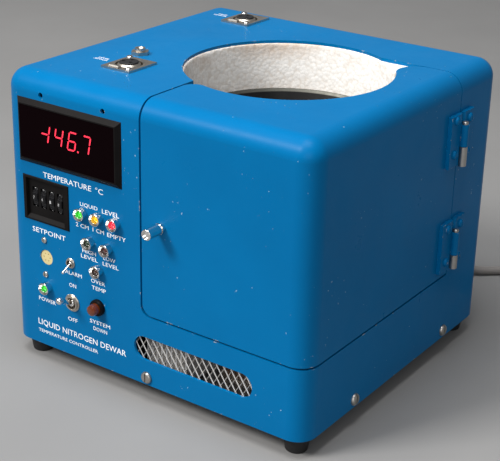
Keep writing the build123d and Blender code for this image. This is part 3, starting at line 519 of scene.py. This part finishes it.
def coil_points():
    points = []
    for step in range(1, int(TURNS * POINTS_PER_TURN)):
        turn = step / POINTS_PER_TURN
        radius, height = winding(turn)
        angle = math.pi / 2 - math.tau * turn
        points.append((COIL_X + radius / POLYGON_SHRINK * math.cos(angle),
                       COIL_Y + radius / POLYGON_SHRINK * math.sin(angle), height))
    return points


def make_cord():
    curve = bpy.data.curves.new("mains_lead", "CURVE")
    curve.dimensions = "3D"
    curve.bevel_depth = CORD_RADIUS
    curve.bevel_resolution = 5
    curve.resolution_u = 6
    curve.use_fill_caps = True
    points = ROUTE + coil_points() + TAIL
    spline = curve.splines.new("NURBS")
    spline.points.add(len(points) - 1)
    for point, place in zip(spline.points, points):
        point.co = (*(MIDDLE + Vector(place)), 1)
    spline.order_u = 3
    spline.use_endpoint_u = True
    curve.materials.append(CORD)
    lead = bpy.data.objects.new("mains_lead", curve)
    bpy.context.scene.collection.objects.link(lead)
    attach(lead, "root")
    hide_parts("mains_cord", "cord_coil", "cord_tail")
    return lead


def make_tie():
    """A flat strap round the bundle of turns, where it is six turns thick."""
    angle, half_wide, thick = math.radians(-62), 0.0045, 0.0007
    outwards = Vector((math.cos(angle), math.sin(angle), 0))
    centre = MIDDLE + Vector((COIL_X, COIL_Y, 0)) + outwards * COIL_RADIUS
    centre.z = COIL_FOOT + PITCH_OF_TURNS
    slack, corner, steps = 0.0001, 0.003, 5
    half_x, half_z = 1.5 * PITCH_OF_TURNS + slack, PITCH_OF_TURNS + slack
    loop = []
    for quarter, (sign_x, sign_z) in enumerate(((1, 1), (-1, 1), (-1, -1), (1, -1))):
        for step in range(steps + 1):
            turn = math.pi / 2 * (quarter + step / steps)
            loop.append((sign_x * (half_x - corner), sign_z * (half_z - corner), turn))
    sideways = outwards.cross(UPWARD)
    points, faces = [], []
    for x, z, turn in loop:
        for grow, side in ((0, -1), (0, 1), (thick, 1), (thick, -1)):
            reach = corner + grow
            points.append(centre + outwards * (x + reach * math.cos(turn))
                          + UPWARD * (z + reach * math.sin(turn)) + sideways * side * half_wide)
    count = len(loop)
    for step in range(count):
        here, there = step * 4, ((step + 1) % count) * 4
        faces += [[here + i, here + (i + 1) % 4, there + (i + 1) % 4, there + i] for i in range(4)]
    return piece("cord_tie", mesh_of("cord_tie", points, faces), RUBBER)


lead, tie = make_cord(), make_tie()


# ---- Foam ------------------------------------------------------------------------------
def make_foam(node, body, seed, voxel):
    """The CAD foam as moulded beads: remeshed, drawn in a little and made uneven all over."""
    mesh = nodes[node].data.copy()
    made = piece(node + "_beads", mesh, FOAM, body)
    form = bmesh.new()
    form.from_mesh(mesh)
    bmesh.ops.remove_doubles(form, verts=form.verts, dist=1e-6)
    form.to_mesh(mesh)
    form.free()
    remesh = made.modifiers.new("beads", "REMESH")
    remesh.mode = "VOXEL"
    remesh.voxel_size = voxel
    remesh.use_smooth_shade = True
    final = bpy.data.meshes.new_from_object(made.evaluated_get(bpy.context.evaluated_depsgraph_get()))
    made.modifiers.clear()
    made.data = final
    final.materials.clear()
    final.materials.append(FOAM)
    shift = Vector((seed * 1.7, seed * 0.9, seed * 2.3))
    normals = [v.normal.copy() for v in final.vertices]
    for vertex, normal in zip(final.vertices, normals):
        lumps = noise.noise(vertex.co * 330 + shift) + 0.5 * noise.noise(vertex.co * 90 + shift)
        vertex.co += normal * (lumps * 0.0001 - 0.00025)
    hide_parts(node)
    return made


make_foam("fixed_foam", "root", 1, 0.0016)
make_foam("door_foam", "door", 2, 0.0016)
make_foam("vessel_pad", "root", 3, 0.003)


# ---- Vent mesh -------------------------------------------------------------------------
def make_vent_mesh():
    """Expanded metal: strands that lean one way face the front, and the others stand edge on; the
    front-facing strands get a painted highlight (pale bright metal) and the edge-on ones a painted shade
    (dark grey metal).
    """
    low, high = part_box("vent_mesh")
    half_x, half_z, thick = 3.1 * MM, 4.8 * MM, 0.35 * MM
    broad_wide, thin_wide = 1.5 * MM, 0.8 * MM
    columns = int((high.x - low.x) / half_x)
    rows = int((high.z - low.z) / half_z)
    depth = (low.y + high.y) / 2
    broad, thin = [], []
    for row in range(rows):
        for column in range(columns + 1):
            if (row + column) % 2:
                continue
            knuckle = Vector((low.x + column * half_x, depth, low.z + (rows - row) * half_z))
            if column < columns:
                end = knuckle + Vector((half_x, 0, -half_z))
                broad.append(bar(knuckle, end, Vector((0.9, -0.4, 0)), broad_wide, thick))
            if column:
                end = knuckle + Vector((-half_x, 0.0004, -half_z))
                thin.append(bar(knuckle, end, Vector((0.45, 1, 0)), thin_wide, thick))
    # The two strand sets carry a painted highlight and a painted shade of one metal.
    for name, bars, finish in (("expanded_mesh", broad, MESH_PAINTED_HIGHLIGHT), ("expanded_mesh_ties", thin, MESH_PAINTED_SHADE)):
        mesh = piece(name, joined(name, bars), finish, smooth=False)
        if finish is MESH_PAINTED_HIGHLIGHT:
            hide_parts("vent_mesh")


make_vent_mesh()


# ---- Panel meter -----------------------------------------------------------------------
# The segments are named a to g: clockwise from the top, and then the middle one.
SEGMENTS = {"1": "bc", "4": "bcfg", "6": "acdefg", "7": "abc", "-": "g"}
DIGIT_TALL, DIGIT_WIDE, STROKE, SLANT = 13.0, 6.7, 1.15, 0.2
DIGIT_PITCH, DIGIT_LEFT, DIGIT_FOOT = 12.6, -24.2, -4.6
MINUS_LEFT = DIGIT_LEFT - 0.6
SEGMENT_GAP, SEGMENT_POINT = 0.25, 0.9
DOT_RADIUS, DOT_OFFSET, DOT_SIDES = 0.75, 9.9, 12
GLOW_THICK = 0.05 * MM


def segment(name):
    """The two ends of a segment, from the digit's lower left corner."""
    wide, tall, half = DIGIT_WIDE, DIGIT_TALL, DIGIT_TALL / 2
    ends = {"a": ((0, tall), (wide, tall)), "b": ((wide, tall), (wide, half)),
            "c": ((wide, half), (wide, 0)), "d": ((wide, 0), (0, 0)),
            "e": ((0, 0), (0, half)), "f": ((0, half), (0, tall)), "g": ((0, half), (wide, half))}
    return ends[name]


def area_of(outline):
    """Twice an outline's area, which is above nought where it runs anticlockwise."""
    return sum(x0 * y1 - x1 * y0 for (x0, y0), (x1, y1) in zip(outline, outline[1:] + outline[:1]))


def segment_outline(start, end):
    """A six-sided bar with pointed ends, leaning with the digits."""
    (x0, y0), (x1, y1) = start, end
    long = math.hypot(x1 - x0, y1 - y0)
    ux, uy = (x1 - x0) / long, (y1 - y0) / long
    near, far = SEGMENT_POINT, long - SEGMENT_POINT
    ring = ((SEGMENT_GAP, 0), (near, -1), (far, -1), (long - SEGMENT_GAP, 0), (far, 1), (near, 1))
    outline = []
    for along, across in ring:
        x = x0 + ux * along - uy * across * STROKE / 2
        y = y0 + uy * along + ux * across * STROKE / 2
        outline.append((x + SLANT * y, y))
    return outline if area_of(outline) > 0 else outline[::-1]


def make_digits():
    low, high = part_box("meter_window")
    origin = Vector((middle_of(low, high).x, low.y, middle_of(low, high).z + DIGIT_FOOT * MM))
    places = [DIGIT_LEFT + DIGIT_PITCH * step for step in range(4)]
    parts = []
    for figure, x in zip("-1467", [MINUS_LEFT] + places):
        for name in SEGMENTS[figure]:
            foot = origin + RIGHTWARD * x * MM
            parts.append(plate(segment_outline(*segment(name)), foot, RIGHTWARD, UPWARD, GLOW_THICK))
    dot = []
    for step in range(DOT_SIDES):
        turn = math.tau * step / DOT_SIDES
        dot.append((places[2] + DOT_OFFSET + DOT_RADIUS * math.cos(turn), DOT_RADIUS * math.sin(turn)))
    parts.append(plate(dot, origin, RIGHTWARD, UPWARD, GLOW_THICK))
    glow = lamp("lit_segment", (0.80, 0.018, 0.05), 1.1)
    piece("meter_reading", joined("meter_reading", parts), glow, smooth=False)


make_digits()


# ---- Thumbwheel numbers ----------------------------------------------------------------
NUMBER_TALL, NUMBER_WIDE, NUMBER_THICK = 2.2, 1.4, 0.05
NUMBER_SINK = 0.02 * MM


def make_wheel_numbers():
    """The figures 0 to 9 round each wheel, with each wheel set to a figure of its own."""
    for number in range(1, 5):
        low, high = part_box(f"thumbwheel_{number}")
        hub, radius = middle_of(low, high), (high.y - low.y) / 2
        parts = []
        for figure in range(10):
            turn = math.tau * ((figure + number * 3) % 10) / 10
            out = Vector((0, -math.cos(turn), math.sin(turn)))
            up = Vector((0, math.sin(turn), math.cos(turn)))
            foot = hub + out * (radius - NUMBER_SINK) - up * NUMBER_TALL / 2 * MM
            parts.append(lettering(str(figure), foot, RIGHTWARD, up, NUMBER_TALL, NUMBER_WIDE, NUMBER_THICK))
        piece(f"wheel_numbers_{number}", joined("wheel_numbers", parts), FADED, f"setpoint_wheel_{number}",
              smooth=False)


make_wheel_numbers()


# ---- Lamps -----------------------------------------------------------------------------
# The lens as (radius, distance out from its foot).
LENS = [(2.1, 0.1), (2.1, 3.7), (2.0, 4.5), (1.6, 5.2), (1.0, 5.65), (0.35, 5.8)]


def make_lamps():
    """One lens for each chrome bezel: the top row and the power lamp are lit."""
    looks = {"green": ((0.03, 0.62, 0.03), 0.7), "yellow": ((0.95, 0.52, 0.0), 0.7),
             "red": ((0.85, 0.02, 0.05), 0.9),
             "dark_green": ((0.02, 0.05, 0.02), 0.0), "dark_red": ((0.10, 0.02, 0.015), 0.0),
             "dark_brown": ((0.07, 0.025, 0.01), 0.0)}
    finishes = {name: lamp("lens_" + name, colour, glow) for name, (colour, glow) in looks.items()}
    order = ("green", "yellow", "red", "dark_green", "dark_red", "dark_brown", "green")
    for number, (name, (low, high)) in enumerate(zip(order, solids("led_lenses")), 1):
        centre = middle_of(low, high)
        foot = Vector((centre.x, high.y, centre.z))
        form = mesh_of("lens", *lathe(LENS, foot, -BACKWARD))
        lens = piece(f"lamp_lens_{number}", form, finishes[name])
        if number == 1:
            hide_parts("led_lenses")


make_lamps()


# ---- Words on the panel and the top ----------------------------------------------------
# Each row on the panel: words, middle X, foot Z, letter height, width, all in millimetres.
PANEL_WORDS = [
    ("TEMPERATURE", -72.7, 149.9, 4.0, 45.6), ("°C", -42.6, 149.9, 4.2, 7.0),
    ("SETPOINT", -92.0, 105.2, 3.8, 32.5),
    ("LIQUID", -52.6, 136.4, 3.3, 16.4), ("LEVEL", -32.6, 136.2, 3.3, 15.6),
    ("2 CM", -59.3, 120.1, 3.1, 12.2), ("1 CM", -44.2, 120.1, 3.1, 10.4),
    ("EMPTY", -27.6, 119.8, 3.1, 16.9),
    ("HIGH", -53.4, 101.4, 2.9, 12.8), ("LEVEL", -53.3, 97.0, 2.9, 15.9),
    ("LOW", -34.6, 101.0, 2.9, 11.0), ("LEVEL", -33.5, 96.4, 2.9, 14.5),
    ("ALARM", -69.3, 80.0, 3.0, 16.2), ("ON", -70.4, 70.2, 3.1, 6.8), ("OFF", -71.4, 42.2, 3.1, 9.4),
    ("POWER", -96.4, 50.3, 3.1, 16.8),
    ("OVER", -45.7, 80.0, 3.0, 13.3), ("TEMP", -45.1, 74.7, 3.0, 13.4),
    ("SYSTEM", -44.8, 47.3, 3.0, 19.2), ("DOWN", -44.7, 42.0, 3.0, 13.0),
    ("LIQUID NITROGEN DEWAR", -63.5, 29.0, 5.6, 86.0), ("TEMPERATURE CONTROLLER", -77.0, 23.6, 2.6, 59.0),
]
# Each row on the top: words, middle X, foot Y, letter height, width.
TOP_WORDS = [("LEVEL", -90.5, -66.0, 2.2, 10.0), ("SENSOR", -90.5, -69.6, 2.2, 12.5),
             ("TEMP", -103.0, 95.0, 2.2, 9.0), ("SENSOR", -103.0, 91.4, 2.2, 12.5)]


def make_words():
    on_panel, on_top = [], []
    for words, x, z, tall, wide in PANEL_WORDS:
        foot = Vector((at(x, 0, z).x, PANEL, at(x, 0, z).z))
        on_panel.append(lettering(words, foot, RIGHTWARD, UPWARD, tall, wide))
    for words, x, y, tall, wide in TOP_WORDS:
        foot = Vector((at(x, y, 0).x, at(x, y, 0).y, TOP))
        on_top.append(lettering(words, foot, RIGHTWARD, BACKWARD, tall, wide))
    piece("panel_words", joined("panel_words", on_panel), PRINT, smooth=False)
    piece("top_words", joined("top_words", on_top), PRINT, smooth=False)


make_words()


# ---- Floor and light -------------------------------------------------------------------
def make_stage():
    ground = Finish("floor", (0.23, 0.228, 0.226), 0.8)
    ground.to("Base Color", ground.mix(ground.range(ground.noise(3, 4), 0.3, 0.7), (0.215, 0.213, 0.211),
                                       (0.245, 0.243, 0.241)))
    reach = 6
    corners = [(-reach, -reach, 0), (reach, -reach, 0), (reach, reach, 0), (-reach, reach, 0)]
    mesh = mesh_of("floor", corners, [[0, 1, 2, 3]])
    mesh.materials.append(ground.material)
    floor = bpy.data.objects.new("floor", mesh)
    bpy.context.scene.collection.objects.link(floor)


def softbox(name, place, power, size, colour=(1, 1, 1)):
    """A square light that faces the casing."""
    light = bpy.data.lights.new(name, "AREA")
    light.energy, light.size, light.color = power, size, colour
    holder = bpy.data.objects.new(name, light)
    bpy.context.scene.collection.objects.link(holder)
    aim = Vector((0, 0, 0.12)) - Vector(place)
    holder.location = place
    holder.rotation_euler = aim.to_track_quat("-Z", "Y").to_euler()


def make_light():
    world = bpy.data.worlds.new("studio")
    world.use_nodes = True
    world.node_tree.nodes["Background"].inputs["Color"].default_value = (0.80, 0.82, 0.85, 1)
    world.node_tree.nodes["Background"].inputs["Strength"].default_value = 0.28
    bpy.context.scene.world = world
    softbox("key", (-1.7, -2.9, 3.2), 205, 1.3, (1.0, 0.98, 0.95))
    softbox("overhead", (0.0, -0.35, 1.7), 24, 0.9)
    softbox("fill", (1.0, -1.7, 0.9), 9, 1.2)


make_stage()
make_light()
